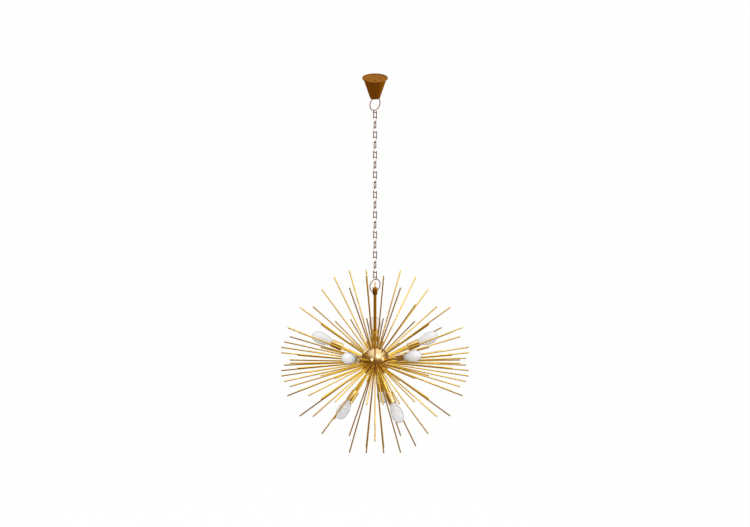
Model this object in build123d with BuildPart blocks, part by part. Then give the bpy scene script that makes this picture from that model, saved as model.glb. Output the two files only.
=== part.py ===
from build123d import *
from math import cos, pi, radians, sin, sqrt
import os

os.makedirs("parts", exist_ok=True)

# A starburst chandelier that hangs by a ring, a chain and a second ring from a small cone canopy.
# All lengths are in millimetres. The origin is the centre of the ceiling plate's top face and +Z is up.
# Latitudes and azimuths are degrees about the ball's centre; azimuth 0 faces the viewer (-Y), 90 faces +X.

# ceiling plate and canopy
plate_radius = 41.0
plate_thickness = 4.0
plate_screw_spacing = 40.0
plate_screw_hole_radius = 2.25
supply_hole_radius = 4.0
supply_hole_offset = 18.0
spigot_clearance = 0.5
spigot_wall = 1.8
spigot_depth = 9.0
boss_radius = 8.0
boss_depth = 9.0
cone_top_radius = 37.3
cone_mouth_radius = 16.2
cone_height = 65.3
cone_wall = 1.5
grub_screw_radius = 2.0
grub_screw_drop = 4.5
socket_key_radius = 1.0
socket_key_depth = 1.5
eye_shank_radius = 3.0
eye_shank_engagement = 9.5
eye_wire = 4.0
eye_radius = 6.0
eye_drop_below_mouth = 2.9
nut_across_flats = 10.0
nut_thickness = 5.0
block_length = 20.0
block_width = 9.5
block_height = 10.0
block_offset = 17.0
block_bore_radius = 1.6
block_pitch = 6.2

# rings and chain
ring_radius = 21.5
ring_wire = 3.0
ring_turn = 41.0
chain_wire = 2.8
link_inner_length = 34.36
link_inner_width = 8.1
link_count = 17
odd_link_turn = -30.0
even_link_turn = 60.0
link_gap = 0.25
eye_gap = 0.2

# stem and its cap
cap_radius = 8.0
cap_top_above_hole = 13.7
cap_top_chamfer = 0.8
cap_foot_chamfer = 2.0
cap_web = 1.3
cap_hole_clearance = 0.3
stem_radius = 5.0
stem_wall = 1.0
stem_engagement = 4.4
stem_length = 223.1
bushing_drop = 18.0
bushing_radius = 2.8
bushing_bore_radius = 1.9
bushing_collar_radius = 3.8
bushing_collar = 1.2

# ball, its core and the arms
ball_radius = 49.0
ball_wall = 2.2
ball_sides = 36
ball_bands = 6
cavity_sides = 16
cavity_latitudes = [0, 25, 50, 75]
core_radius = 18.0
core_depth = 8.0
stem_nut_across_flats = 17.0
stem_nut_thickness = 5.0
arm_radius = 4.0
arm_wall = 1.0

# needles
needle_reach = 305.0
needle_thickness = 4.4
needle_seat_gap = 0.05
top_needle_root = 79.0

# lampholders and lamps, measured outwards from the ball's centre
sleeve_start = 116.0
sleeve_length = 37.5
sleeve_radius = 12.5
sleeve_wall = 1.0
sleeve_floor = 2.0
sleeve_chamfer = 1.0
arm_into_sleeve = 3.0
holder_radius = 11.1
holder_length = 24.0
holder_bore_radius = 7.4
holder_floor = 3.2
contact_radius = 2.5
contact_height = 0.9
lamp_cap_radius = 7.0
lamp_cap_length = 21.0
lamp_tip_radius = 3.0
lamp_tip_height = 2.6
lamp_tip_gap = 0.3
glass_wall = 0.9
glass_profile = [  # radius of the bulb against the distance from its base
    (6.6, 0.0),
    (12.0, 13.4),
    (16.8, 30.4),
    (19.25, 47.4),
    (18.6, 58.4),
    (15.0, 68.9),
    (8.4, 75.9),
    (3.0, 78.0),
]

# fits
thread_gap = 0.05
seat_gap = 0.1

# how many flats stand for a round
ring_sides = 8
link_sides = 6
needle_sides = 6
arm_sides = 8
tube_sides = 12
sleeve_sides = 14
large_sides = 24
bow_steps = 6
ring_steps = 20
eye_steps = 12

eight_ways = [-135, -90, -45, 0, 45, 90, 135, 180]
four_corners = [-135, -45, 45, 135]
every_ten = list(range(-175, 180, 10))

# (latitude, azimuth) of each lamp
upper_lamps = [(20.5, -28.6), (20.0, 43.5), (18.5, 107.0), (19.0, 180.0), (18.5, -107.0)]
lower_lamps = [(-45.5, -50.0), (-47.0, 33.0), (-54.0, 167.0)]
lamps = upper_lamps + lower_lamps


# levels down the fixture, measured from the ceiling
cone_slope = (cone_top_radius - cone_mouth_radius) / cone_height
spigot_radius = cone_top_radius - cone_wall - cone_slope * spigot_depth - spigot_clearance
mouth_z = -plate_thickness - cone_height
eye_bottom_z = mouth_z - eye_drop_below_mouth
eye_centre_z = eye_bottom_z + eye_radius
upper_ring_top_z = eye_bottom_z + (eye_wire + ring_wire) / 2 + eye_gap
upper_ring_z = upper_ring_top_z - ring_radius
link_pitch = link_inner_length - link_gap
link_height = link_inner_length + chain_wire
first_link_top_z = upper_ring_z - ring_radius + (ring_wire + chain_wire) / 2 + link_gap
last_link_z = first_link_top_z - link_height / 2 - (link_count - 1) * link_pitch
lower_ring_top_z = last_link_z - link_height / 2 + (ring_wire + chain_wire) / 2 + link_gap
lower_ring_z = lower_ring_top_z - ring_radius
cap_hole_z = lower_ring_z - ring_radius
ring_rise_in_cap = ring_radius - sqrt(ring_radius**2 - cap_radius**2)
cap_hole_radius = ring_wire / 2 + ring_rise_in_cap + cap_hole_clearance
stem_top_z = cap_hole_z - cap_hole_radius - cap_web
cap_foot_z = stem_top_z - stem_engagement
stem_foot_z = stem_top_z - stem_length
ball_z = stem_foot_z + core_depth - core_radius
ball_centre = Vector(0, 0, ball_z)

arm_start = core_radius - core_depth
arm_end = sleeve_start + arm_into_sleeve
holder_start = arm_end + seat_gap
contact_start = holder_start + holder_floor
lamp_start = contact_start + contact_height + lamp_tip_gap
glass_start = lamp_start + lamp_cap_length + seat_gap


def round_points(profile, sides):
    """Corners of a turned body drawn with flats, from its (radius, height) pairs."""
    corner = radians(360 / sides)
    return [(r * cos(i * corner), r * sin(i * corner), h) for r, h in profile for i in range(sides)]


def on_flats(radius, sides):
    """Corner radius that puts the flats at the given radius."""
    return radius / cos(pi / sides)


def direction(latitude, azimuth):
    """Unit vector out of the ball's centre."""
    level = cos(radians(latitude))
    return Vector(level * sin(radians(azimuth)), -level * cos(radians(azimuth)), sin(radians(latitude)))


def radial_plane(lamp, distance):
    """Plane square to a lamp's axis at a distance from the ball's centre."""
    outward = direction(*lamp)
    return Plane(origin=ball_centre + outward * distance, z_dir=outward)


def upright_plane(turn, height):
    """Vertical plane through the Z axis, turned from the X axis."""
    along = (cos(radians(turn)), sin(radians(turn)), 0)
    return Plane(origin=(0, 0, height), x_dir=along, z_dir=(sin(radians(turn)), -cos(radians(turn)), 0))


def save(piece, name):
    """Labels a piece and writes it."""
    piece.part.label = name
    export_step(piece.part, f"parts/{name}.step")


def wire_loop(corners, plane, thickness, sides):
    """Closed loop of wire along the runs between the corners, which are (x, z) on an upright plane."""
    first, last = Vector(*corners[0]), Vector(*corners[-1])
    start = plane.from_local_coords((first + last) * 0.5)
    along = plane.from_local_coords(first) - plane.from_local_coords(last)
    with BuildPart() as loop:
        with BuildLine(plane) as centre_line:
            Polyline(*corners, close=True)
        with BuildSketch(Plane(origin=start, x_dir=plane.z_dir, z_dir=along)):
            RegularPolygon(thickness / 2, sides, major_radius=False, rotation=90 + 180 / sides)
        sweep(path=centre_line.wires()[0], transition=Transition.RIGHT)
    return loop


def circle_corners(radius, steps):
    """Corners of a polygon whose runs touch the circle, one of them at its lowest point."""
    half = pi / steps
    reach = radius / cos(half)
    return [(reach * cos((2 * i + 1) * half), reach * sin((2 * i + 1) * half)) for i in range(steps)]


def link_corners():
    """Corners of one link's centre line: two half-round bows joined by straight legs."""
    half_turn = pi / bow_steps / 2
    bow_radius = (link_inner_width + chain_wire) / 2
    reach = bow_radius / cos(half_turn)
    leg = link_height / 2 - bow_radius
    corners = []
    for side in (0, 1):
        middle = leg if side == 0 else -leg
        for i in range(bow_steps):
            angle = pi * side + (2 * i + 1) * half_turn
            corners.append((reach * cos(angle), middle + reach * sin(angle)))
    return corners


# ceiling plate: a flanged disc with a spigot for the cone, a tapped boss and its fixing holes
with BuildPart() as ceiling_plate:
    with BuildSketch():
        RegularPolygon(plate_radius, large_sides)
    extrude(amount=-plate_thickness)
    with BuildSketch(Plane.XY.offset(-plate_thickness)):
        RegularPolygon(spigot_radius, large_sides)
        RegularPolygon(spigot_radius - spigot_wall, large_sides, mode=Mode.SUBTRACT)
    extrude(amount=-spigot_depth)
    with BuildSketch(Plane.XY.offset(-plate_thickness)):
        RegularPolygon(boss_radius, sleeve_sides)
    extrude(amount=-boss_depth)
    with BuildSketch(Plane.XY.offset(-plate_thickness - boss_depth)):
        RegularPolygon(eye_shank_radius + thread_gap, tube_sides)
    extrude(amount=eye_shank_engagement + seat_gap, mode=Mode.SUBTRACT)
    with BuildSketch():
        with GridLocations(plate_screw_spacing, 0, 2, 1):
            Circle(plate_screw_hole_radius)
        with Locations((0, -supply_hole_offset)):
            RegularPolygon(supply_hole_radius, tube_sides)
    extrude(amount=-plate_thickness, mode=Mode.SUBTRACT)
save(ceiling_plate, "ceiling_plate")

# canopy cone: an open funnel that slides over the spigot and stops against the plate
cone_top_z = -plate_thickness
grub_screw_z = cone_top_z - grub_screw_drop
cone_radius_at_screw = cone_top_radius - cone_slope * grub_screw_drop
with BuildPart() as canopy_cone:
    ConvexPolyhedron(
        round_points([(cone_mouth_radius, mouth_z), (cone_top_radius, cone_top_z)], large_sides)
    )
    ConvexPolyhedron(
        round_points(
            [(cone_mouth_radius - cone_wall, mouth_z), (cone_top_radius - cone_wall, cone_top_z)],
            large_sides,
        ),
        mode=Mode.SUBTRACT,
    )
    with BuildSketch(Plane(origin=(-cone_top_radius, 0, grub_screw_z), z_dir=(1, 0, 0))):
        RegularPolygon(grub_screw_radius + thread_gap, tube_sides)
    extrude(amount=2 * cone_top_radius, mode=Mode.SUBTRACT)
save(canopy_cone, "canopy_cone")

# two grub screws through the cone that bear on the spigot
grub_screw_foot = spigot_radius + seat_gap
grub_screw_length = cone_radius_at_screw - cone_slope * grub_screw_radius - grub_screw_foot
with BuildPart() as canopy_grub_screws:
    for side in (-1, 1):
        with BuildSketch(Plane(origin=(side * grub_screw_foot, 0, grub_screw_z), z_dir=(side, 0, 0))):
            RegularPolygon(grub_screw_radius, tube_sides)
    extrude(amount=grub_screw_length)
    for side in (-1, 1):
        head = side * (grub_screw_foot + grub_screw_length)
        with BuildSketch(Plane(origin=(head, 0, grub_screw_z), z_dir=(-side, 0, 0))):
            RegularPolygon(socket_key_radius, 6)
    extrude(amount=socket_key_depth, mode=Mode.SUBTRACT)
save(canopy_grub_screws, "canopy_grub_screws")

# eye bolt: its shank screws up into the boss and its eye stands across the upper ring
eye_turn = ring_turn + 90
eye_loop = wire_loop(
    circle_corners(eye_radius, eye_steps), upright_plane(eye_turn, eye_centre_z), eye_wire, ring_sides
)
shank_foot_z = eye_centre_z + eye_radius
shank_top_z = -plate_thickness - boss_depth + eye_shank_engagement
with BuildPart() as eye_bolt:
    add(eye_loop.part)
    with BuildSketch(Plane.XY.offset(shank_foot_z)):
        RegularPolygon(eye_shank_radius, tube_sides)
    extrude(amount=shank_top_z - shank_foot_z)
save(eye_bolt, "eye_bolt")

# lock nut that holds the eye bolt against the boss
nut_top_z = -plate_thickness - boss_depth
with BuildPart() as eye_bolt_nut:
    with BuildSketch(Plane.XY.offset(nut_top_z)):
        RegularPolygon(nut_across_flats / 2, 6, major_radius=False)
        RegularPolygon(eye_shank_radius + thread_gap, tube_sides, mode=Mode.SUBTRACT)
    extrude(amount=-nut_thickness)
save(eye_bolt_nut, "eye_bolt_nut")

# three-way terminal block under the plate, with wire ways from side to side and screws from below
with BuildPart() as terminal_block:
    with BuildSketch(Plane.XY.offset(-plate_thickness)):
        with Locations((0, block_offset)):
            Rectangle(block_length, block_width)
    extrude(amount=-block_height)
    block_middle_z = -plate_thickness - block_height / 2
    with BuildSketch(Plane(origin=(0, block_offset + block_width, block_middle_z), z_dir=(0, -1, 0))):
        with GridLocations(block_pitch, 0, 3, 1):
            RegularPolygon(block_bore_radius, 6)
    extrude(amount=2 * block_width, mode=Mode.SUBTRACT)
    with BuildSketch(Plane.XY.offset(-plate_thickness - block_height)):
        with Locations((0, block_offset)):
            with GridLocations(block_pitch, 0, 3, 1):
                RegularPolygon(block_bore_radius, 6)
    extrude(amount=block_height / 2, mode=Mode.SUBTRACT)
save(terminal_block, "terminal_block")

# the two rings
for name, ring_z in [("upper_ring", upper_ring_z), ("lower_ring", lower_ring_z)]:
    ring_corners = circle_corners(ring_radius, ring_steps)
    ring = wire_loop(ring_corners, upright_plane(ring_turn, ring_z), ring_wire, ring_sides)
    save(ring, name)

# chain: each link hangs in the bow of the one above, a quarter turn round from it
for number in range(1, link_count + 1):
    link_turn = odd_link_turn if number % 2 else even_link_turn
    link_z = first_link_top_z - link_height / 2 - (number - 1) * link_pitch
    chain_link = wire_loop(link_corners(), upright_plane(link_turn, link_z), chain_wire, link_sides)
    save(chain_link, f"chain_link_{number:02d}")

# stem cap: a turned collar with a cross hole for the lower ring and a tapped foot for the stem
cap_top_z = cap_hole_z + cap_top_above_hole
with BuildPart() as stem_cap:
    ConvexPolyhedron(
        round_points(
            [
                (cap_radius - cap_foot_chamfer, cap_foot_z),
                (cap_radius, cap_foot_z + cap_foot_chamfer),
                (cap_radius, cap_top_z - cap_top_chamfer),
                (cap_radius - cap_top_chamfer, cap_top_z),
            ],
            sleeve_sides,
        )
    )
    with BuildSketch(Plane.XY.offset(cap_foot_z)):
        RegularPolygon(stem_radius + thread_gap, sleeve_sides)
    extrude(amount=stem_engagement + seat_gap, mode=Mode.SUBTRACT)
    across = Vector(cos(radians(ring_turn)), sin(radians(ring_turn)), 0)
    with BuildSketch(Plane(origin=Vector(0, 0, cap_hole_z) - across * 2 * cap_radius, z_dir=across)):
        RegularPolygon(on_flats(cap_hole_radius, sleeve_sides), sleeve_sides)
    extrude(amount=4 * cap_radius, mode=Mode.SUBTRACT)
save(stem_cap, "stem_cap")

# stem: a tube from the cap down into the ball's core, with a side hole for the cord at the back
bushing_z = cap_foot_z - bushing_drop
with BuildPart() as stem_tube:
    with BuildSketch(Plane.XY.offset(stem_foot_z)):
        RegularPolygon(stem_radius, sleeve_sides)
        RegularPolygon(stem_radius - stem_wall, sleeve_sides, mode=Mode.SUBTRACT)
    extrude(amount=stem_length)
    with BuildSketch(Plane(origin=(0, 0, bushing_z), z_dir=(0, 1, 0))):
        RegularPolygon(bushing_radius + thread_gap, tube_sides)
    extrude(amount=2 * stem_radius, mode=Mode.SUBTRACT)
save(stem_tube, "stem_tube")

# cord bushing: a collared sleeve pressed into the stem's side hole
with BuildPart() as cord_bushing:
    with BuildSketch(Plane(origin=(0, stem_radius - 2 * stem_wall, bushing_z), z_dir=(0, 1, 0))):
        RegularPolygon(bushing_radius, tube_sides)
    extrude(amount=2 * stem_wall + seat_gap)
    with BuildSketch(Plane(origin=(0, stem_radius + seat_gap, bushing_z), z_dir=(0, 1, 0))):
        RegularPolygon(bushing_collar_radius, tube_sides)
    extrude(amount=bushing_collar)
    with BuildSketch(Plane(origin=(0, 0, bushing_z), z_dir=(0, 1, 0))):
        RegularPolygon(bushing_bore_radius, tube_sides)
    extrude(amount=2 * stem_radius, mode=Mode.SUBTRACT)
save(cord_bushing, "cord_bushing")


# ball: two spun halves that meet at the equator, faceted so that each needle has a flat to stand on
band = 90 / ball_bands
ball_latitudes = [i * band for i in range(ball_bands)]
ball_corner_radius = ball_radius / cos(radians(band / 2)) / cos(pi / ball_sides)
cavity_radius = ball_radius - ball_wall
cavity_top = cavity_radius * sin(radians(cavity_latitudes[-1]))


def half_ball(corner_radius, sides, latitudes, sign):
    """Corners of half a faceted ball, from the equator to a flat at the last latitude."""
    profile = [
        (corner_radius * cos(radians(a)), ball_z + sign * corner_radius * sin(radians(a)))
        for a in latitudes
    ]
    return round_points(profile, sides)


def ball_skin(sign):
    """Corners of the outside of one half of the ball, with its pole."""
    pole = (0, 0, ball_z + sign * ball_corner_radius)
    return half_ball(ball_corner_radius, ball_sides, ball_latitudes, sign) + [pole]


def shell_half(sign, arms):
    """One half of the ball's shell, with the holes that its arms pass through."""
    with BuildPart() as shell:
        ConvexPolyhedron(ball_skin(sign))
        cavity = half_ball(cavity_radius, cavity_sides, cavity_latitudes, sign)
        ConvexPolyhedron(cavity, mode=Mode.SUBTRACT)
        for lamp in arms:
            with BuildSketch(radial_plane(lamp, ball_radius / 2)):
                RegularPolygon(arm_radius + thread_gap, arm_sides)
        extrude(amount=ball_radius, mode=Mode.SUBTRACT)
    return shell


with BuildPart() as ball_upper_shell:
    add(shell_half(1, upper_lamps).part)
    with BuildSketch(Plane.XY.offset(ball_z + ball_radius / 2)):
        RegularPolygon(stem_radius + seat_gap, sleeve_sides)
    extrude(amount=ball_radius, mode=Mode.SUBTRACT)
save(ball_upper_shell, "ball_upper_shell")
ball_lower_shell = shell_half(-1, lower_lamps)
save(ball_lower_shell, "ball_lower_shell")

# core: a solid casting in the middle of the ball, tapped for the stem and for each arm
with BuildPart() as core:
    for sign in (1, -1):
        ConvexPolyhedron(half_ball(core_radius, tube_sides, cavity_latitudes, sign))
    for lamp in lamps:
        with BuildSketch(radial_plane(lamp, arm_start)):
            RegularPolygon(arm_radius + thread_gap, arm_sides)
    extrude(amount=core_radius, mode=Mode.SUBTRACT)
    with BuildSketch(Plane.XY.offset(stem_foot_z)):
        RegularPolygon(stem_radius + thread_gap, sleeve_sides)
    extrude(amount=core_radius, mode=Mode.SUBTRACT)
save(core, "core")

# nut on the stem that holds the upper shell from inside
stem_nut_top_z = ball_z + cavity_top - seat_gap
with BuildPart() as stem_nut:
    with BuildSketch(Plane.XY.offset(stem_nut_top_z)):
        RegularPolygon(stem_nut_across_flats / 2, 6, major_radius=False)
        RegularPolygon(stem_radius + thread_gap, sleeve_sides, mode=Mode.SUBTRACT)
    extrude(amount=-stem_nut_thickness)
save(stem_nut, "stem_nut")

# arm tubes from the core to the sleeves, one node for all eight
with BuildPart() as arm_tubes:
    for lamp in lamps:
        with BuildSketch(radial_plane(lamp, arm_start)):
            RegularPolygon(arm_radius, arm_sides)
            RegularPolygon(arm_radius - arm_wall, arm_sides, mode=Mode.SUBTRACT)
    extrude(amount=arm_end - arm_start)
save(arm_tubes, "arm_tubes")

# sleeves: a drawn cup on the end of each arm
sleeve_end = sleeve_start + sleeve_length
with BuildPart() as lamp_sleeves:
    for lamp in lamps:
        with Locations(radial_plane(lamp, sleeve_start)):
            ConvexPolyhedron(
                round_points(
                    [
                        (sleeve_radius - sleeve_chamfer, 0),
                        (sleeve_radius, sleeve_chamfer),
                        (sleeve_radius, sleeve_length),
                    ],
                    sleeve_sides,
                )
            )
    for lamp in lamps:
        with BuildSketch(radial_plane(lamp, sleeve_start + sleeve_floor)):
            RegularPolygon(sleeve_radius - sleeve_wall, sleeve_sides)
    extrude(amount=sleeve_length, mode=Mode.SUBTRACT)
    for lamp in lamps:
        with BuildSketch(radial_plane(lamp, arm_start)):
            RegularPolygon(arm_radius + thread_gap, arm_sides)
    extrude(amount=arm_end, mode=Mode.SUBTRACT)
save(lamp_sleeves, "lamp_sleeves")

# lampholders: an insulating cup in each sleeve that stands on the end of the arm
with BuildPart() as lampholders:
    for lamp in lamps:
        with BuildSketch(radial_plane(lamp, holder_start)):
            RegularPolygon(holder_radius, tube_sides)
    extrude(amount=holder_length)
    for lamp in lamps:
        with BuildSketch(radial_plane(lamp, contact_start)):
            RegularPolygon(on_flats(holder_bore_radius, arm_sides), arm_sides)
    extrude(amount=holder_length, mode=Mode.SUBTRACT)
save(lampholders, "lampholders")

# centre contacts on the lampholders' floors
with BuildPart() as lamp_contacts:
    for lamp in lamps:
        with BuildSketch(radial_plane(lamp, contact_start)):
            RegularPolygon(contact_radius, needle_sides)
    extrude(amount=contact_height)
save(lamp_contacts, "lamp_contacts")

# lamps: a metal screw cap and a frosted, pear-shaped hollow bulb on each arm
for number, lamp in enumerate(lamps, start=1):
    with BuildPart() as lamp_cap:
        with Locations(radial_plane(lamp, lamp_start)):
            ConvexPolyhedron(
                round_points(
                    [
                        (lamp_tip_radius, 0),
                        (lamp_cap_radius, lamp_tip_height),
                        (lamp_cap_radius, lamp_cap_length),
                    ],
                    tube_sides,
                )
            )
    save(lamp_cap, f"lamp_{number}_cap")
    with BuildPart() as lamp_glass:
        with Locations(radial_plane(lamp, glass_start)):
            ConvexPolyhedron(round_points(glass_profile, tube_sides))
            hollow = [(r - glass_wall, h) for r, h in glass_profile[1:-1:2]]
            ConvexPolyhedron(round_points(hollow, arm_sides), mode=Mode.SUBTRACT)
    save(lamp_glass, f"lamp_{number}_glass")

# needles: straight rods that stand on the ball's flats; each row shares a latitude
ball_corners = [Vector(x, y, z - ball_z) for sign in (1, -1) for x, y, z in ball_skin(sign)]
equator_gaps = [-135, -75, 45, 105, 165]
needle_rows = {
    "needles_upper_row_1": [(7.5, [a for a in every_ten if a not in equator_gaps])],
    "needles_upper_row_2": [(22.5, [-135, -90, -45, 0, 90, 135])],
    "needles_upper_row_3": [(37.5, eight_ways)],
    "needles_upper_crown": [(52.5, [-135, 45, 135]), (67.5, four_corners), (82.5, [-135, -45, 45])],
    "needles_lower_row_1": [(-7.5, [a for a in every_ten if a != 45])],
    "needles_lower_row_2": [(-22.5, eight_ways)],
    "needles_lower_row_3": [(-37.5, eight_ways)],
    "needles_lower_crown": [(-52.5, [-135, 45]), (-67.5, four_corners), (-82.5, four_corners)],
}


def needle_plane(latitude, azimuth):
    """Plane at a needle's root, square to it, and the needle's length.

    A needle points straight out of the ball's centre, but those beside the stem start further
    down the ball, clear of it, and lean inwards to the same tips.
    """
    tip = direction(latitude, azimuth) * needle_reach
    root = direction(min(latitude, top_needle_root), azimuth) * ball_radius
    along = (tip - root).normalized()
    seat = max(corner.dot(along) for corner in ball_corners) + needle_seat_gap
    length = tip.dot(along) - seat
    return Plane(origin=ball_centre + tip - along * length, z_dir=along), length


for name, rows in needle_rows.items():
    with BuildPart() as needles:
        for latitude, azimuths in rows:
            placed = [needle_plane(latitude, azimuth) for azimuth in azimuths]
            for plane, length in placed:
                with BuildSketch(plane):
                    RegularPolygon(needle_thickness / 2, needle_sides, major_radius=False)
                extrude(amount=length)
    save(needles, name)
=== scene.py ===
from math import cos, pi, radians, sin

import bpy
from mathutils import Matrix, Vector
from mathutils.geometry import interpolate_bezier


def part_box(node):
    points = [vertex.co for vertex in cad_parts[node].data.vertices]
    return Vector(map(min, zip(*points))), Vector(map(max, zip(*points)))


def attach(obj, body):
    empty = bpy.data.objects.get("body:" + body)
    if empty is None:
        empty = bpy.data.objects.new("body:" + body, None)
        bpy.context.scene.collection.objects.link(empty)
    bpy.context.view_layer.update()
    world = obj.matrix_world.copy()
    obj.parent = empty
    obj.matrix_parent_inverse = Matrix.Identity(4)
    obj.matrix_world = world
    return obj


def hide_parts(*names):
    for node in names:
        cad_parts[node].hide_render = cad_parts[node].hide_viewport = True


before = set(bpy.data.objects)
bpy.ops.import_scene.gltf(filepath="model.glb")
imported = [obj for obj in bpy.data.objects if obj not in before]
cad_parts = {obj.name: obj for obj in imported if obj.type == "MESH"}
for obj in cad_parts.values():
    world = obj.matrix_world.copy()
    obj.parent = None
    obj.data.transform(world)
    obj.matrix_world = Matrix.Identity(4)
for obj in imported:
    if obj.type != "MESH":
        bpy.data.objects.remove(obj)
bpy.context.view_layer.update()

mm = 0.001
print("frame loaded:", len(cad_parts), "nodes")


# camera: a level-sided view from a little above, like the photograph's

camera = {
    "elevation": 19.55,
    "aimHeight": -0.6342,  # level on the stem's axis that falls in the middle of the picture
    "distance": 4.0,
    "width": 2.411,
}


def placeCamera():
    tilt = radians(camera["elevation"])
    back = Vector((0, -cos(tilt), sin(tilt))) * camera["distance"]
    middle = Vector((0, 0, camera["aimHeight"]))
    bpy.ops.object.camera_add(location=middle + back, rotation=(pi / 2 - tilt, 0, 0))
    viewer = bpy.context.object
    viewer.data.type = "ORTHO"
    viewer.data.ortho_scale = camera["width"]
    bpy.context.scene.camera = viewer


placeCamera()
print("camera placed")


# modelling helpers

weld = 0.002 * mm  # points nearer than this become one


def clearSelection():
    if bpy.context.object and bpy.context.object.mode != "OBJECT":
        bpy.ops.object.mode_set(mode="OBJECT")
    bpy.ops.object.select_all(action="DESELECT")


def makeActive(piece):
    clearSelection()
    piece.select_set(True)
    bpy.context.view_layer.objects.active = piece


def settle(piece, name, smoothAngle=35):
    # places go into the mesh, faces point outwards
    makeActive(piece)
    bpy.ops.object.transform_apply(location=True, rotation=True, scale=True)
    bpy.ops.object.mode_set(mode="EDIT")
    bpy.ops.mesh.select_all(action="SELECT")
    bpy.ops.mesh.remove_doubles(threshold=weld)
    bpy.ops.mesh.normals_make_consistent(inside=False)
    bpy.ops.object.mode_set(mode="OBJECT")
    bpy.ops.object.shade_smooth_by_angle(angle=radians(smoothAngle))
    piece.name = name
    piece.data.name = name
    return piece


def drawOut(name, first, steps, sides, fill, smoothAngle):
    # a circle drawn out step by step along Z, each step at its own radius
    clearSelection()
    radius, height = first
    bpy.ops.mesh.primitive_circle_add(
        vertices=sides, radius=radius, fill_type=fill, location=(0, 0, height)
    )
    piece = bpy.context.object
    bpy.ops.object.mode_set(mode="EDIT")
    bpy.ops.mesh.select_all(action="SELECT")
    for newRadius, newHeight in steps:
        rise = (0, 0, newHeight - height)
        bpy.ops.mesh.extrude_region_move(TRANSFORM_OT_translate={"value": rise})
        grow = newRadius / radius
        bpy.ops.transform.resize(value=(grow, grow, 1), center_override=(0, 0, newHeight))
        radius, height = newRadius, newHeight
    return settle(piece, name, smoothAngle)


def turnSolid(name, profile, sides, smoothAngle=35):
    # a filled disc drawn out into a solid
    return drawOut(name, profile[0], profile[1:], sides, "NGON", smoothAngle)


def turnTube(name, profile, sides, smoothAngle=35):
    # a hoop drawn out and back to where it starts
    return drawOut(name, profile[0], profile[1:] + profile[:1], sides, "NOTHING", smoothAngle)


def bendWire(name, thickness, start, moves, sides):
    # a round section pushed straight and spun round bends, in the XZ plane
    clearSelection()
    bpy.ops.mesh.primitive_circle_add(
        vertices=sides, radius=thickness / 2, fill_type="NOTHING", location=start
    )
    piece = bpy.context.object
    bpy.ops.object.mode_set(mode="EDIT")
    bpy.ops.mesh.select_all(action="SELECT")
    for kind, amount, centre, steps in moves:
        if kind == "push":
            bpy.ops.mesh.extrude_region_move(TRANSFORM_OT_translate={"value": (0, 0, amount)})
        else:
            bpy.ops.mesh.spin(steps=steps, angle=amount, center=centre, axis=(0, -1, 0))
    bpy.ops.mesh.select_all(action="SELECT")
    bpy.ops.mesh.remove_doubles(threshold=weld)
    bpy.ops.mesh.fill_holes(sides=0)
    return settle(piece, name, 50)


def cutWith(piece, cutter):
    makeActive(piece)
    bpy.ops.object.modifier_add(type="BOOLEAN")
    cut = piece.modifiers[-1]
    cut.operation = "DIFFERENCE"
    cut.solver = "EXACT"
    cut.object = cutter
    bpy.ops.object.modifier_apply(modifier=cut.name)
    bpy.data.objects.remove(cutter)


def drill(piece, radius, place, direction, length, sides=32):
    clearSelection()
    turn = Vector(direction).to_track_quat("Z", "Y").to_euler()
    bpy.ops.mesh.primitive_cylinder_add(
        vertices=sides, radius=radius, depth=length, location=place, rotation=turn
    )
    cutWith(piece, bpy.context.object)


def placeCopy(master, name, matrix):
    mesh = master.data.copy()
    mesh.transform(matrix)
    copy = bpy.data.objects.new(name, mesh)
    bpy.context.scene.collection.objects.link(copy)
    return copy


def joinAll(pieces, name):
    clearSelection()
    for piece in pieces:
        piece.select_set(True)
    bpy.context.view_layer.objects.active = pieces[0]
    bpy.ops.object.join()
    joined = bpy.context.object
    joined.name = name
    joined.data.name = name
    return joined


def mount(piece, body, node, material, mirrored=True):
    piece.visible_glossy = mirrored  # the ball mirrors the studio and not the rods round it
    piece.data.materials.clear()
    piece.data.materials.append(material)
    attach(piece, body)
    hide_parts(node)


def boxMiddle(node):
    low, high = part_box(node)
    return (low + high) / 2


def outward(latitude, azimuth):
    # unit vector out of the ball's centre; azimuth 0 faces the viewer, 90 is to the right
    level = cos(radians(latitude))
    return Vector((level * sin(radians(azimuth)), -level * cos(radians(azimuth)), sin(radians(latitude))))


def alongAxis(origin, direction):
    return Matrix.Translation(origin) @ direction.to_track_quat("Z", "Y").to_matrix().to_4x4()


def turnedUpright(angle, place):
    return Matrix.Translation(place) @ Matrix.Rotation(radians(angle), 4, "Z")


# materials


def shade(code):
    # a screen colour such as a36b2e as the shader's own values
    values = []
    for i in (0, 2, 4):
        c = int(code[i : i + 2], 16) / 255
        values.append(c / 12.92 if c <= 0.04045 else ((c + 0.055) / 1.055) ** 2.4)
    return (*values, 1)


def addNode(tree, kind, **values):
    node = tree.nodes.new(kind)
    for name, value in values.items():
        node.inputs[name.replace("_", " ")].default_value = value
    return node


def startMaterial(name):
    material = bpy.data.materials.new(name)
    material.use_nodes = True
    tree = material.node_tree
    return material, tree, tree.nodes["Principled BSDF"]


def addTones(tree, place, colours, scale):
    # two tones that drift into each other
    noise = addNode(tree, "ShaderNodeTexNoise", Scale=scale, Detail=3)
    ramp = tree.nodes.new("ShaderNodeValToRGB")
    tree.links.new(place, noise.inputs["Vector"])
    tree.links.new(noise.outputs["Fac"], ramp.inputs["Fac"])
    for element, position, colour in zip(ramp.color_ramp.elements, (0.35, 0.65), colours):
        element.position = position
        element.color = shade(colour)
    return ramp.outputs["Color"]


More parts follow.
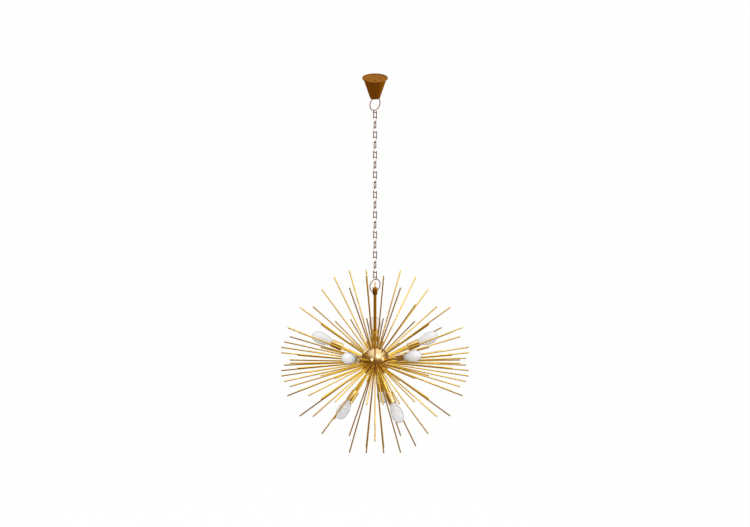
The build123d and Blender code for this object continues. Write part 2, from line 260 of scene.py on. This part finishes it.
def addRange(tree, place, scale, low, high):
    # a value that drifts between two limits
    noise = addNode(tree, "ShaderNodeTexNoise", Scale=scale, Detail=4)
    spread = addNode(tree, "ShaderNodeMapRange", From_Min=0.3, From_Max=0.7, To_Min=low, To_Max=high)
    tree.links.new(place, noise.inputs["Vector"])
    tree.links.new(noise.outputs["Fac"], spread.inputs["Value"])
    return spread.outputs["Result"]


def addBump(tree, place, shader, scale, strength, distance):
    noise = addNode(tree, "ShaderNodeTexNoise", Scale=scale, Detail=2)
    bump = addNode(tree, "ShaderNodeBump", Strength=strength, Distance=distance)
    tree.links.new(place, noise.inputs["Vector"])
    tree.links.new(noise.outputs["Fac"], bump.inputs["Height"])
    tree.links.new(bump.outputs["Normal"], shader.inputs["Normal"])


def makeBrass(name, look):
    material, tree, shader = startMaterial(name)
    coords = tree.nodes.new("ShaderNodeTexCoord")
    grain = addNode(tree, "ShaderNodeMapping", Scale=look["grain"])
    tree.links.new(coords.outputs["Object"], grain.inputs["Vector"])
    tones = addTones(tree, coords.outputs["Object"], look["tones"], look["toneScale"])
    rough = addRange(tree, grain.outputs["Vector"], look["grainScale"], *look["rough"])
    tree.links.new(tones, shader.inputs["Base Color"])
    tree.links.new(rough, shader.inputs["Roughness"])
    shader.inputs["Metallic"].default_value = 1
    shader.inputs["Specular Tint"].default_value = shade(look["edge"])
    if "coat" in look:
        weight, roughness, ior = look["coat"]
        shader.inputs["Coat Weight"].default_value = weight
        shader.inputs["Coat Roughness"].default_value = roughness
        shader.inputs["Coat IOR"].default_value = ior
    addBump(tree, grain.outputs["Vector"], shader, look["grainScale"], look["bump"], 0.1 * mm)
    return material


def makePlain(name, look):
    material, tree, shader = startMaterial(name)
    coords = tree.nodes.new("ShaderNodeTexCoord")
    tones = addTones(tree, coords.outputs["Object"], look["tones"], look["toneScale"])
    rough = addRange(tree, coords.outputs["Object"], look["grainScale"], *look["rough"])
    tree.links.new(tones, shader.inputs["Base Color"])
    tree.links.new(rough, shader.inputs["Roughness"])
    shader.inputs["Metallic"].default_value = look.get("metal", 0)
    addBump(tree, coords.outputs["Object"], shader, look["grainScale"], look["bump"], 0.1 * mm)
    return material


def makeFrosted(name, look):
    material, tree, shader = startMaterial(name)
    coords = tree.nodes.new("ShaderNodeTexCoord")
    tones = addTones(tree, coords.outputs["Object"], look["tones"], look["toneScale"])
    # painted shade: the base colour turns from the glass tone to blue-grey towards the outline, where the
    # bulb turns away from the viewer
    facing = addNode(tree, "ShaderNodeLayerWeight", Blend=look["paintedRimBlend"])
    paintedRimMix = tree.nodes.new("ShaderNodeMix")
    paintedRimMix.data_type = "RGBA"
    paintedRimMix.inputs["B"].default_value = shade(look["paintedRimTone"])
    first, last = look["paintedRimSpan"]
    span = addNode(tree, "ShaderNodeMapRange", From_Min=first, From_Max=last)
    tree.links.new(facing.outputs["Facing"], span.inputs["Value"])
    tree.links.new(span.outputs["Result"], paintedRimMix.inputs["Factor"])
    tree.links.new(tones, paintedRimMix.inputs["A"])
    tree.links.new(paintedRimMix.outputs["Result"], shader.inputs["Base Color"])
    rough = addRange(tree, coords.outputs["Object"], look["grainScale"], *look["rough"])
    tree.links.new(rough, shader.inputs["Roughness"])
    shader.inputs["Coat Weight"].default_value = look["coat"]
    shader.inputs["Subsurface Weight"].default_value = look["milk"]
    shader.inputs["Subsurface Radius"].default_value = (1, 1, 1)
    shader.inputs["Subsurface Scale"].default_value = look["milkDepth"]
    addBump(tree, coords.outputs["Object"], shader, look["grainScale"], look["bump"], 0.05 * mm)
    return material


brassLooks = {
    "plate": {
        "tones": ("a6743a", "b07e42"),
        "edge": "c89850",
        "toneScale": 30,
        "grain": (1, 1, 1),
        "grainScale": 700,
        "rough": (0.45, 0.55),
        "bump": 0.06,
    },
    "canopy": {
        "tones": ("a67228", "b28034"),
        "edge": "b0822c",
        "toneScale": 25,
        "grain": (1, 1, 0.05),
        "grainScale": 600,
        "rough": (0.4, 0.5),
        "bump": 0.05,
    },
    "chain": {
        "tones": ("92640e", "a47416"),
        "edge": "9c7020",
        "toneScale": 60,
        "grain": (1, 1, 1),
        "grainScale": 900,
        "rough": (0.22, 0.32),
        "bump": 0.05,
    },
    "stem": {
        "tones": ("d2a02a", "dcaa36"),
        "edge": "e0b450",
        "toneScale": 25,
        "grain": (1, 1, 0.03),
        "grainScale": 800,
        "rough": (0.3, 0.4),
        "bump": 0.05,
        "coat": (0.2, 0.12, 1.6),  # weight, roughness, index
    },
    "ball": {
        "tones": ("b08628", "bc9234"),
        "edge": "dcc070",
        "toneScale": 20,
        "grain": (1, 1, 1),
        "grainScale": 700,
        "rough": (0.16, 0.22),
        "bump": 0.04,
        "coat": (1, 0.05, 2.6),
    },
    "needle": {
        "tones": ("d8b038", "e4c04a"),
        "edge": "e4c060",
        "toneScale": 14,
        "grain": (1, 1, 1),
        "grainScale": 900,
        "rough": (0.22, 0.3),
        "bump": 0.04,
        "coat": (0.35, 0.1, 1.8),
    },
    "sleeve": {
        "tones": ("b89032", "c49c40"),
        "edge": "e4c878",
        "toneScale": 30,
        "grain": (1, 1, 1),
        "grainScale": 700,
        "rough": (0.22, 0.3),
        "bump": 0.04,
        "coat": (1, 0.08, 2.2),
    },
}
brass = {name: makeBrass(name + "Brass", look) for name, look in brassLooks.items()}

otherLooks = {
    "steel": {
        "tones": ("b4b4ae", "c6c6c0"),
        "toneScale": 60,
        "grainScale": 900,
        "rough": (0.3, 0.45),
        "bump": 0.08,
        "metal": 1,
    },
    "lampCap": {
        "tones": ("bdbdbb", "cfcfcc"),
        "toneScale": 80,
        "grainScale": 900,
        "rough": (0.25, 0.4),
        "bump": 0.06,
        "metal": 1,
    },
    "holder": {
        "tones": ("e2dfd6", "eae8e0"),
        "toneScale": 50,
        "grainScale": 500,
        "rough": (0.45, 0.6),
        "bump": 0.08,
    },
    "bushing": {
        "tones": ("1b1917", "26231f"),
        "toneScale": 80,
        "grainScale": 600,
        "rough": (0.6, 0.75),
        "bump": 0.1,
    },
}
others = {name: makePlain(name + "Finish", look) for name, look in otherLooks.items()}

frosted = makeFrosted(
    "frostedGlass",
    {
        "tones": ("e5e7ea", "ebecee"),
        "toneScale": 18,
        # painted rim shade: blue-grey base colour at the bulb's outline
        "paintedRimTone": "6f83a2",
        "paintedRimBlend": 0.36,
        "paintedRimSpan": (0.35, 0.85),
        "grainScale": 900,
        "rough": (0.35, 0.45),
        "bump": 0.03,
        "coat": 0.2,
        "milk": 0.7,
        "milkDepth": 30 * mm,
    },
)
print("materials made:", len(bpy.data.materials))


# canopy

ceilingPlate = {
    "radius": 41 * mm,
    "thickness": 4 * mm,
    "edge": 0.4 * mm,
    "lip": 1.2 * mm,
    "recess": 2.4 * mm,
    "spigot": (32.4 * mm, 30.6 * mm),
    "spigotDepth": 9 * mm,
    "boss": 8 * mm,
    "bore": 3.05 * mm,
    "screwHoles": (20 * mm, 2.25 * mm),
    "wireHole": (18 * mm, 4 * mm),
    "sides": 96,
}


def makeCeilingPlate(s):
    under = -s["thickness"]
    depth = under - s["spigotDepth"]
    plate = turnSolid(
        "ceilingPlate",
        [
            (s["radius"] - s["lip"], -s["recess"]),
            (s["radius"] - s["lip"], -0.5 * s["edge"]),
            (s["radius"] - s["lip"] + 0.5 * s["edge"], 0),
            (s["radius"] - s["edge"], 0),
            (s["radius"], -s["edge"]),
            (s["radius"], under + s["edge"]),
            (s["radius"] - s["edge"], under),
            (s["spigot"][0], under),
            (s["spigot"][0], depth),
            (s["spigot"][1], depth),
            (s["spigot"][1], under),
            (s["boss"], under),
            (s["boss"], depth),
            (s["bore"], depth),
            (s["bore"], under),
        ],
        s["sides"],
    )
    spacing, radius = s["screwHoles"]
    for side in (-1, 1):
        drill(plate, radius, (side * spacing, 0, 0), (0, 0, 1), 4 * s["thickness"])
    drill(plate, s["wireHole"][1], (0, -s["wireHole"][0], 0), (0, 0, 1), 4 * s["thickness"])
    mount(settle(plate, "ceilingPlate"), "ceiling_mount", "ceiling_plate", brass["plate"])


makeCeilingPlate(ceilingPlate)

canopyCone = {
    "topRadius": 37.3 * mm,
    "mouthRadius": 16.2 * mm,
    "wall": 1.5 * mm,
    "lip": 0.4 * mm,
    "screwDrop": 4.5 * mm,
    "screwHole": 2.05 * mm,
    "sides": 96,
}


def makeCanopyCone(s):
    low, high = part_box("canopy_cone")
    cone = turnTube(
        "canopyCone",
        [
            (s["mouthRadius"] - s["lip"], low.z),
            (s["mouthRadius"], low.z + s["lip"]),
            (s["topRadius"], high.z),
            (s["topRadius"] - s["wall"], high.z),
            (s["mouthRadius"] - s["wall"], low.z + s["lip"]),
            (s["mouthRadius"] - s["wall"] + s["lip"], low.z),
        ],
        s["sides"],
    )
    for side in (-1, 1):
        place = (side * s["topRadius"], 0, high.z - s["screwDrop"])
        drill(cone, s["screwHole"], place, (1, 0, 0), s["topRadius"])
    mount(settle(cone, "canopyCone"), "ceiling_mount", "canopy_cone", brass["canopy"])


makeCanopyCone(canopyCone)

eyeBolt = {
    "wire": 4 * mm,
    "wireSides": 16,
    "radius": 6 * mm,
    "steps": 48,
    "shank": 3 * mm,
    "shankSides": 32,
    "chamfer": 0.5 * mm,
    "turn": 131,
}


def makeEyeBolt(s):
    low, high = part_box("eye_bolt")
    centre = Vector((0, 0, low.z + s["wire"] / 2 + s["radius"]))
    bends = s["steps"] - 1
    spin = ("spin", 2 * pi * bends / s["steps"], (0, 0, 0), bends)
    eye = bendWire("eye", s["wire"], (s["radius"], 0, 0), [spin], s["wireSides"])
    top = s["radius"]
    shank = turnSolid(
        "shank",
        [
            (s["wire"] * 0.45, top - 0.2 * s["wire"]),
            (s["wire"] * 0.5, top + 0.45 * s["wire"]),
            (s["shank"], top + s["wire"]),
            (s["shank"], high.z - centre.z - s["chamfer"]),
            (s["shank"] - s["chamfer"], high.z - centre.z),
        ],
        s["shankSides"],
    )
    bolt = joinAll([eye, shank], "eyeBolt")
    bolt.data.transform(turnedUpright(s["turn"], centre))
    mount(bolt, "ceiling_mount", "eye_bolt", brass["canopy"])


makeEyeBolt(eyeBolt)
print("canopy made")


# rings and chain

rings = {
    "radius": 21.5 * mm,
    "wire": 3 * mm,
    "turn": 41,
    "gap": 0.004,  # radians left open where the wire's ends meet
    "steps": 72,
    "sides": 16,
}


def makeRings(s):
    spin = ("spin", 2 * pi - s["gap"], (0, 0, 0), s["steps"])
    master = bendWire("ring", s["wire"], (s["radius"], 0, 0), [spin], s["sides"])
    for node, name in (("upper_ring", "upperRing"), ("lower_ring", "lowerRing")):
        ring = placeCopy(master, name, turnedUpright(s["turn"], boxMiddle(node)))
        mount(ring, node, node, brass["chain"])
    bpy.data.objects.remove(master)


makeRings(rings)

chain = {
    "wire": 2.8 * mm,
    "innerLength": 34.36 * mm,
    "innerWidth": 8.1 * mm,
    "count": 17,
    "oddTurn": -30,
    "evenTurn": 60,
    "seam": 0.1 * mm,
    "bowSteps": 12,
    "sides": 14,
}


def makeChain(s):
    bow = (s["innerWidth"] + s["wire"]) / 2
    leg = (s["innerLength"] + s["wire"]) / 2 - bow
    master = bendWire(
        "link",
        s["wire"],
        (bow, 0, s["seam"] / 2),
        [
            ("push", leg - s["seam"] / 2, None, 1),
            ("spin", pi, (0, 0, leg), s["bowSteps"]),
            ("push", -2 * leg, None, 1),
            ("spin", pi, (0, 0, -leg), s["bowSteps"]),
            ("push", leg - s["seam"] / 2, None, 1),
        ],
        s["sides"],
    )
    for number in range(1, s["count"] + 1):
        node = f"chain_link_{number:02d}"
        turn = s["oddTurn"] if number % 2 else s["evenTurn"]
        link = placeCopy(master, f"chainLink{number:02d}", turnedUpright(turn, boxMiddle(node)))
        mount(link, f"link_{number:02d}", node, brass["chain"])
    bpy.data.objects.remove(master)


makeChain(chain)
print("rings and chain made")


# stem

stem = {
    "capRadius": 8 * mm,
    "topChamfer": 0.8 * mm,
    "footChamfer": 2 * mm,
    "holeBelowTop": 13.7 * mm,
    "holeRadius": 3.34 * mm,
    "holeTurn": 41,
    "radius": 5 * mm,
    "wall": 1 * mm,
    "bushingRadius": 2.8 * mm,
    "bushingBore": 1.9 * mm,
    "collarRadius": 3.8 * mm,
    "capSides": 64,
    "tubeSides": 48,
    "bushingSides": 32,
}


def makeStem(s):
    low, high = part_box("stem_cap")
    r, top, foot = s["capRadius"], s["topChamfer"], s["footChamfer"]
    cap = turnSolid(
        "stemCap",
        [
            (r - foot, low.z),
            (r - 0.3 * foot, low.z + 0.45 * foot),
            (r, low.z + foot),
            (r, high.z - top),
            (r - 0.3 * top, high.z - 0.3 * top),
            (r - top, high.z),
        ],
        s["capSides"],
    )
    across = (cos(radians(s["holeTurn"])), sin(radians(s["holeTurn"])), 0)
    drill(cap, s["holeRadius"], (0, 0, high.z - s["holeBelowTop"]), across, 4 * r, s["tubeSides"])
    mount(settle(cap, "stemCap"), "starburst", "stem_cap", brass["canopy"])
    low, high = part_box("stem_tube")
    tube = turnTube(
        "stemTube",
        [
            (s["radius"], low.z),
            (s["radius"], high.z),
            (s["radius"] - s["wall"], high.z),
            (s["radius"] - s["wall"], low.z),
        ],
        s["tubeSides"],
    )
    bushing = boxMiddle("cord_bushing")
    drill(tube, s["bushingRadius"] + 0.05 * mm, (0, s["radius"], bushing.z), (0, 1, 0), s["radius"])
    mount(settle(tube, "stemTube"), "starburst", "stem_tube", brass["stem"])
    low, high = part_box("cord_bushing")
    seat = s["radius"] + 0.1 * mm
    ring = turnTube(
        "cordBushing",
        [
            (s["bushingRadius"], low.y),
            (s["bushingRadius"], seat),
            (s["collarRadius"], seat),
            (s["collarRadius"], high.y - 0.5 * mm),
            (s["collarRadius"] - 0.5 * mm, high.y),
            (s["bushingBore"] + 0.4 * mm, high.y),
            (s["bushingBore"], high.y - 0.4 * mm),
            (s["bushingBore"], low.y),
        ],
        s["bushingSides"],
    )
    ring.data.transform(Matrix.Translation((0, 0, bushing.z)) @ Matrix.Rotation(-pi / 2, 4, "X"))
    mount(ring, "starburst", "cord_bushing", others["bushing"])


makeStem(stem)
print("stem made")


# ball

ball = {"radius": 49 * mm, "seam": 0.15 * mm}
ballCentre = Vector((0, 0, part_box("ball_upper_shell")[0].z))


def makeHalfBall(s, name, node, sign):
    clearSelection()
    bpy.ops.mesh.primitive_uv_sphere_add(segments=96, ring_count=48, radius=s["radius"], location=ballCentre)
    half = bpy.context.object
    bpy.ops.object.mode_set(mode="EDIT")
    bpy.ops.mesh.select_all(action="SELECT")
    bpy.ops.mesh.bisect(plane_co=ballCentre, plane_no=(0, 0, -sign), use_fill=True, clear_outer=True)
    bpy.ops.mesh.bevel(offset=s["seam"], segments=2)
    mount(settle(half, name), "starburst", node, brass["ball"])


makeHalfBall(ball, "ballUpperShell", "ball_upper_shell", 1)
makeHalfBall(ball, "ballLowerShell", "ball_lower_shell", -1)
print("ball made")


# lamps

lamps = [
    (20.5, -28.6),
    (20.0, 43.5),
    (18.5, 107.0),
    (19.0, 180.0),
    (18.5, -107.0),
    (-45.5, -50.0),
    (-47.0, 33.0),
    (-54.0, 167.0),
]


def placeOnArms(master, name, node, material):
    copies = [placeCopy(master, name, alongAxis(ballCentre, outward(*lamp))) for lamp in lamps]
    bpy.data.objects.remove(master)
    mount(joinAll(copies, name), "starburst", node, material, mirrored=False)


arm = {"radius": 4 * mm, "wall": 1 * mm, "start": 46 * mm, "end": 119 * mm, "sides": 24}


def makeArms(s):
    inner = s["radius"] - s["wall"]
    profile = [(s["radius"], s["start"]), (s["radius"], s["end"]), (inner, s["end"]), (inner, s["start"])]
    tube = turnTube("arm", profile, s["sides"])
    placeOnArms(tube, "armTubes", "arm_tubes", brass["needle"])


makeArms(arm)

sleeve = {
    "start": 116 * mm,
    "length": 37.5 * mm,
    "radius": 12.5 * mm,
    "wall": 1 * mm,
    "floor": 2 * mm,
    "round": 1 * mm,
    "lip": 0.3 * mm,
    "sides": 48,
}


def makeSleeves(s):
    foot, mouth = s["start"], s["start"] + s["length"]
    inner = s["radius"] - s["wall"]
    cup = turnSolid(
        "sleeve",
        [
            (s["radius"] - s["round"], foot),
            (s["radius"] - 0.3 * s["round"], foot + 0.3 * s["round"]),
            (s["radius"], foot + s["round"]),
            (s["radius"], mouth - s["lip"]),
            (s["radius"] - s["lip"], mouth),
            (inner + 0.2 * mm, mouth),
            (inner, mouth - s["lip"]),
            (inner, foot + s["floor"]),
        ],
        s["sides"],
    )
    placeOnArms(cup, "lampSleeves", "lamp_sleeves", brass["sleeve"])


makeSleeves(sleeve)

holder = {
    "start": 119.1 * mm,
    "length": 24 * mm,
    "radius": 11.1 * mm,
    "edge": 1 * mm,
    "bore": 7.4 * mm,
    "boreEdge": 0.5 * mm,
    "floor": 3.2 * mm,
    "sides": 32,
}


def makeHolders(s):
    foot, mouth = s["start"], s["start"] + s["length"]
    cup = turnSolid(
        "holder",
        [
            (s["radius"], foot),
            (s["radius"], mouth - s["edge"]),
            (s["radius"] - s["edge"], mouth),
            (s["bore"] + s["boreEdge"], mouth),
            (s["bore"], mouth - s["boreEdge"]),
            (s["bore"], foot + s["floor"]),
        ],
        s["sides"],
    )
    placeOnArms(cup, "lampholders", "lampholders", others["holder"])


makeHolders(holder)

lampCap = {
    "start": 123.5 * mm,
    "length": 21 * mm,
    "radius": 7 * mm,
    "root": 6.5 * mm,
    "tip": 3 * mm,
    "tipHeight": 2.6 * mm,
    "turns": 5,
    "pitch": 2.8 * mm,
    "flank": 0.12 * mm,
    "sides": 32,
}


def capProfile(s):
    # insulated tip, then a rolled thread
    foot = s["start"]
    mouth = foot + s["length"]
    profile = [
        (s["tip"], foot),
        (s["tip"] + 0.6 * mm, foot + 0.5 * mm),
        (s["root"], foot + s["tipHeight"]),
    ]
    for turn in range(s["turns"]):
        low = foot + s["tipHeight"] + 0.6 * mm + turn * s["pitch"]
        profile += [
            (s["root"], low),
            (s["radius"] - s["flank"], low + 0.3 * s["pitch"]),
            (s["radius"], low + 0.5 * s["pitch"]),
            (s["radius"] - s["flank"], low + 0.7 * s["pitch"]),
        ]
    return profile + [(s["root"], mouth - 3 * mm), (s["radius"], mouth - 2 * mm), (s["radius"], mouth)]


bulb = {
    "start": 144.6 * mm,
    "neck": 6.6 * mm,
    "widest": 19.25 * mm,
    "widestAt": 50 * mm,
    "length": 78 * mm,
    "sides": 48,
    "steps": 12,
}


def bulbProfile(s):
    # two smooth spans: neck to widest, widest to the round end
    low, middle, high = s["start"], s["start"] + s["widestAt"], s["start"] + s["length"]
    rise = interpolate_bezier(
        Vector((s["neck"], low)),
        Vector((1.45 * s["neck"], low + 0.28 * s["widestAt"])),
        Vector((s["widest"], middle - 0.44 * s["widestAt"])),
        Vector((s["widest"], middle)),
        s["steps"],
    )
    end = s["length"] - s["widestAt"]
    close = interpolate_bezier(
        Vector((s["widest"], middle)),
        Vector((s["widest"], middle + 0.56 * end)),
        Vector((0.56 * s["widest"], high)),
        Vector((0.02 * s["widest"], high)),
        s["steps"],
    )
    return [(p.x, p.y) for p in rise + close[1:]]


def makeLamps():
    cap = turnSolid("cap", capProfile(lampCap), lampCap["sides"])
    glass = turnSolid("glass", bulbProfile(bulb), bulb["sides"], 60)
    for number, lamp in enumerate(lamps, start=1):
        place = alongAxis(ballCentre, outward(*lamp))
        for master, kind, slotName, material in (
            (cap, "Cap", "lamp_cap_metal", others["lampCap"]),
            (glass, "Glass", "frosted_glass", frosted),
        ):
            copy = placeCopy(master, f"lamp{kind}{number}", place)
            node = f"lamp_{number}_{kind.lower()}"
            mount(copy, f"lamp_{number}", node, material, mirrored=False)
    bpy.data.objects.remove(cap)
    bpy.data.objects.remove(glass)


makeLamps()
print("lamps made:", len(lamps))


# needles

needle = {
    "reach": 305 * mm,
    "radius": 2.2 * mm,
    "tip": 0.5 * mm,
    "sides": 12,
    "inBall": 0.5 * mm,
    "topRoot": 79,  # no needle starts above this latitude, so that all stand clear of the stem
}
fourCorners = [-135, -45, 45, 135]
eightWays = [-135, -90, -45, 0, 45, 90, 135, 180]
everyTen = list(range(-175, 180, 10))
equatorGaps = [-135, -75, 45, 105, 165]
needleRows = {  # latitude and azimuths of each row
    "UpperRow1": [(7.5, [a for a in everyTen if a not in equatorGaps])],
    "UpperRow2": [(22.5, [-135, -90, -45, 0, 90, 135])],
    "UpperRow3": [(37.5, eightWays)],
    "UpperCrown": [(52.5, [-135, 45, 135]), (67.5, fourCorners), (82.5, [-135, -45, 45])],
    "LowerRow1": [(-7.5, [a for a in everyTen if a != 45])],
    "LowerRow2": [(-22.5, eightWays)],
    "LowerRow3": [(-37.5, eightWays)],
    "LowerCrown": [(-52.5, [-135, 45]), (-67.5, fourCorners), (-82.5, fourCorners)],
}


def needleNode(row):
    # LowerRow1 stands for needles_lower_row_1
    words = row.replace("Row", "_row_").replace("Crown", "_crown")
    return "needles_" + words.lower()


def makeNeedles(s):
    length = s["reach"] - ball["radius"] + s["inBall"]
    rod = turnSolid(
        "needle",
        [(s["radius"], -length), (s["radius"], -s["tip"]), (s["radius"] - s["tip"], 0)],
        s["sides"],
        50,
    )
    for row, circles in needleRows.items():
        name = "needles" + row
        rods = []
        for latitude, azimuths in circles:
            for azimuth in azimuths:
                tip = outward(latitude, azimuth) * s["reach"]
                root = outward(min(latitude, s["topRoot"]), azimuth) * ball["radius"]
                rods.append(placeCopy(rod, name, alongAxis(ballCentre + tip, tip - root)))
        needles = joinAll(rods, name)
        mount(needles, "starburst", needleNode(row), brass["needle"], mirrored=False)
    bpy.data.objects.remove(rod)


makeNeedles(needle)
print("needles made")


# inner pieces keep their solids

innerPieces = {
    "canopy_grub_screws": brass["canopy"],
    "eye_bolt_nut": others["steel"],
    "terminal_block": others["holder"],
    "core": brass["stem"],
    "stem_nut": others["steel"],
    "lamp_contacts": brass["needle"],
}
for node, material in innerPieces.items():
    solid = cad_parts[node].data
    solid.materials.clear()
    solid.materials.append(material)
print("inner pieces coloured:", len(innerPieces))


# floor, sky and lamps of the studio

studio = {
    "floorLevel": -2.3,
    "floorSize": 40,
    "floorTone": "e6e4e0",
    "background": 1.04,
    "shadowShare": 0.12,
    "floorInMetal": [  # dark in front, white behind
        (-1.5, (0.3, 0.19, 0.065)),
        (0.6, (0.44, 0.3, 0.12)),
        (2.4, (1, 0.95, 0.82)),
    ],
    "floorTowards": (0.3, 0.95, 0),
    "softLight": 0.84,
    "skyTowards": (0.2, 0.1, 0.97),
    "skyInMetal": [  # dark at the sides, bright overhead
        (0, (0.28, 0.18, 0.06)),
        (0.42, (0.42, 0.29, 0.11)),
        (0.54, (0.7, 0.54, 0.28)),
        (0.66, (1.1, 1.06, 0.94)),
        (0.9, (1.8, 1.78, 1.7)),
    ],
    "lampColour": (1, 0.98, 0.94),
}
studioLamps = [  # direction from the ball, distance, size, power
    ((0.4, -0.42, 0.8), 2.6, 1.2, 9),
    ((0.86, -0.3, 0.38), 2.6, 0.9, 4),
    ((-0.45, 0.85, 0.25), 2.6, 0.9, 5),
    ((-0.39, -0.75, 0.53), 2.8, 0.45, 9),
]


def addMath(tree, kind, first, second):
    node = tree.nodes.new("ShaderNodeMath")
    node.operation = kind
    for socket, value in zip(node.inputs, (first, second)):
        if isinstance(value, (int, float)):
            socket.default_value = value
        else:
            tree.links.new(value, socket)
    return node.outputs[0]


def addMix(tree, share, first, second):
    mix = tree.nodes.new("ShaderNodeMixShader")
    for socket, value in zip(mix.inputs, (share, first, second)):
        tree.links.new(value, socket)
    return mix.outputs[0]


def addSeen(tree, rays):
    # what the camera sees itself, also through glass
    return addMath(tree, "ADD", rays.outputs["Is Camera Ray"], rays.outputs["Is Transmission Ray"])


def addSides(tree, place, towards, stops):
    # a tone that runs from the dark side of the studio to the bright one
    side = tree.nodes.new("ShaderNodeVectorMath")
    side.operation = "DOT_PRODUCT"
    side.inputs[1].default_value = towards
    first, last = stops[0][0], stops[-1][0]
    level = addNode(tree, "ShaderNodeMapRange", From_Min=first, From_Max=last)
    ramp = tree.nodes.new("ShaderNodeValToRGB")
    tree.links.new(place, side.inputs[0])
    tree.links.new(side.outputs["Value"], level.inputs["Value"])
    tree.links.new(level.outputs["Result"], ramp.inputs["Fac"])
    while len(ramp.color_ramp.elements) < len(stops):
        ramp.color_ramp.elements.new(0.5)
    for element, (position, tone) in zip(ramp.color_ramp.elements, stops):
        element.position = (position - first) / (last - first)
        element.color = (*tone, 1)
    return ramp.outputs["Color"]


def makeFloor(s):
    # white with a shadow from above, toned in the metal, and clear from below
    clearSelection()
    bpy.ops.mesh.primitive_plane_add(size=s["floorSize"], location=(0, 0, s["floorLevel"]))
    floor = bpy.context.object
    floor.name = "floor"
    material, tree, shader = startMaterial("paleFloor")
    shader.inputs["Base Color"].default_value = shade(s["floorTone"])
    shader.inputs["Roughness"].default_value = 0.9
    shader.inputs["Specular IOR Level"].default_value = 0
    coords = tree.nodes.new("ShaderNodeTexCoord")
    rays = tree.nodes.new("ShaderNodeLightPath")
    under = tree.nodes.new("ShaderNodeNewGeometry")
    white = addNode(tree, "ShaderNodeEmission", Color=(1, 1, 1, 1), Strength=s["background"])
    mirrored = addNode(tree, "ShaderNodeEmission", Strength=1)
    clear = tree.nodes.new("ShaderNodeBsdfTransparent")
    tones = addSides(tree, coords.outputs["Object"], s["floorTowards"], s["floorInMetal"])
    tree.links.new(tones, mirrored.inputs["Color"])
    whiteShare = addMath(tree, "MULTIPLY", addSeen(tree, rays), 1 - s["shadowShare"])
    unseen = addMix(tree, rays.outputs["Is Glossy Ray"], shader.outputs[0], mirrored.outputs[0])
    top = addMix(tree, whiteShare, unseen, white.outputs[0])
    surface = addMix(tree, under.outputs["Backfacing"], top, clear.outputs[0])
    tree.links.new(surface, tree.nodes["Material Output"].inputs["Surface"])
    floor.data.materials.append(material)


def makeSky(s):
    # soft white for dull surfaces, a bright and a dark side for the metal, plain white behind the object
    world = bpy.data.worlds.new("studioSky")
    bpy.context.scene.world = world
    world.use_nodes = True
    tree = world.node_tree
    tree.nodes.clear()
    coords = tree.nodes.new("ShaderNodeTexCoord")
    rays = tree.nodes.new("ShaderNodeLightPath")
    soft = addNode(tree, "ShaderNodeBackground", Color=(1, 1, 1, 1), Strength=s["softLight"])
    sky = addNode(tree, "ShaderNodeBackground", Strength=1)
    white = addNode(tree, "ShaderNodeBackground", Color=(1, 1, 1, 1), Strength=1)
    output = tree.nodes.new("ShaderNodeOutputWorld")
    tones = addSides(tree, coords.outputs["Generated"], s["skyTowards"], s["skyInMetal"])
    tree.links.new(tones, sky.inputs["Color"])
    unseen = addMix(tree, rays.outputs["Is Glossy Ray"], soft.outputs[0], sky.outputs[0])
    surface = addMix(tree, addSeen(tree, rays), unseen, white.outputs[0])
    tree.links.new(surface, output.inputs["Surface"])


def makeStudioLamps(s):
    for direction, distance, size, power in studioLamps:
        towards = Vector(direction).normalized()
        turn = towards.to_track_quat("Z", "Y").to_euler()
        bpy.ops.object.light_add(type="AREA", location=ballCentre + towards * distance, rotation=turn)
        lamp = bpy.context.object
        lamp.data.size = size
        lamp.data.energy = power
        lamp.data.color = s["lampColour"]


makeFloor(studio)
makeSky(studio)
makeStudioLamps(studio)
bpy.context.scene.view_settings.view_transform = "Standard"
print("studio made")
